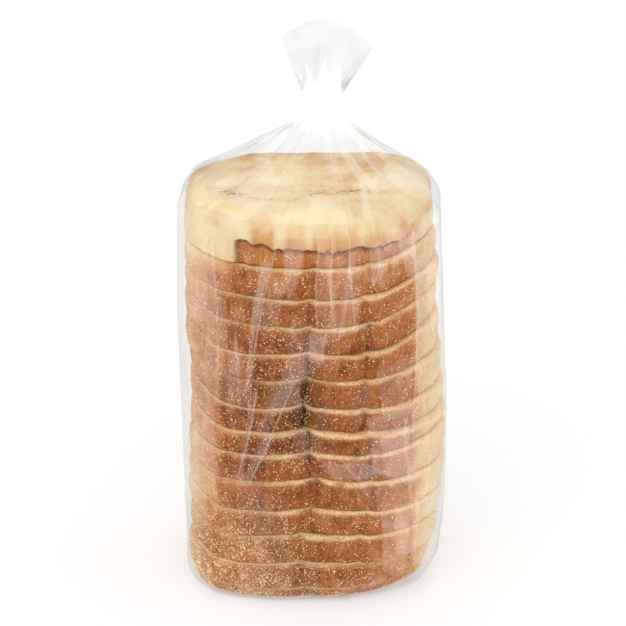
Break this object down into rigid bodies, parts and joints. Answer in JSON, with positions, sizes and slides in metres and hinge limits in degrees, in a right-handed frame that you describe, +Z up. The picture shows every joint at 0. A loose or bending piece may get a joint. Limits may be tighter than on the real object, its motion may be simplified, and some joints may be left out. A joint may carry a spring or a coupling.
{
  "type": "loaf in bread bag",
  "caption": "Sliced bread loaf standing on one end in a clear film bag that is gathered to a tied neck with a fan-shaped ruffle.",
  "frame": {"origin": "middle of the footprint's bounding box, on the surface that the bag stands on", "axes": "+Z up the loaf towards the gathered neck, -Y towards the loaf's browned top crust, +Y towards its pan base, +X to the right seen from the crust side"},
  "size_m": [0.1208, 0.1078, 0.261],
  "materials": {
    "clear_film": "clear glossy film",
    "tie": "satin"
  },
  "bodies": {
    "root": {"bag": "clear_film", "tie": "tie"}
  },
  "joints": []
}
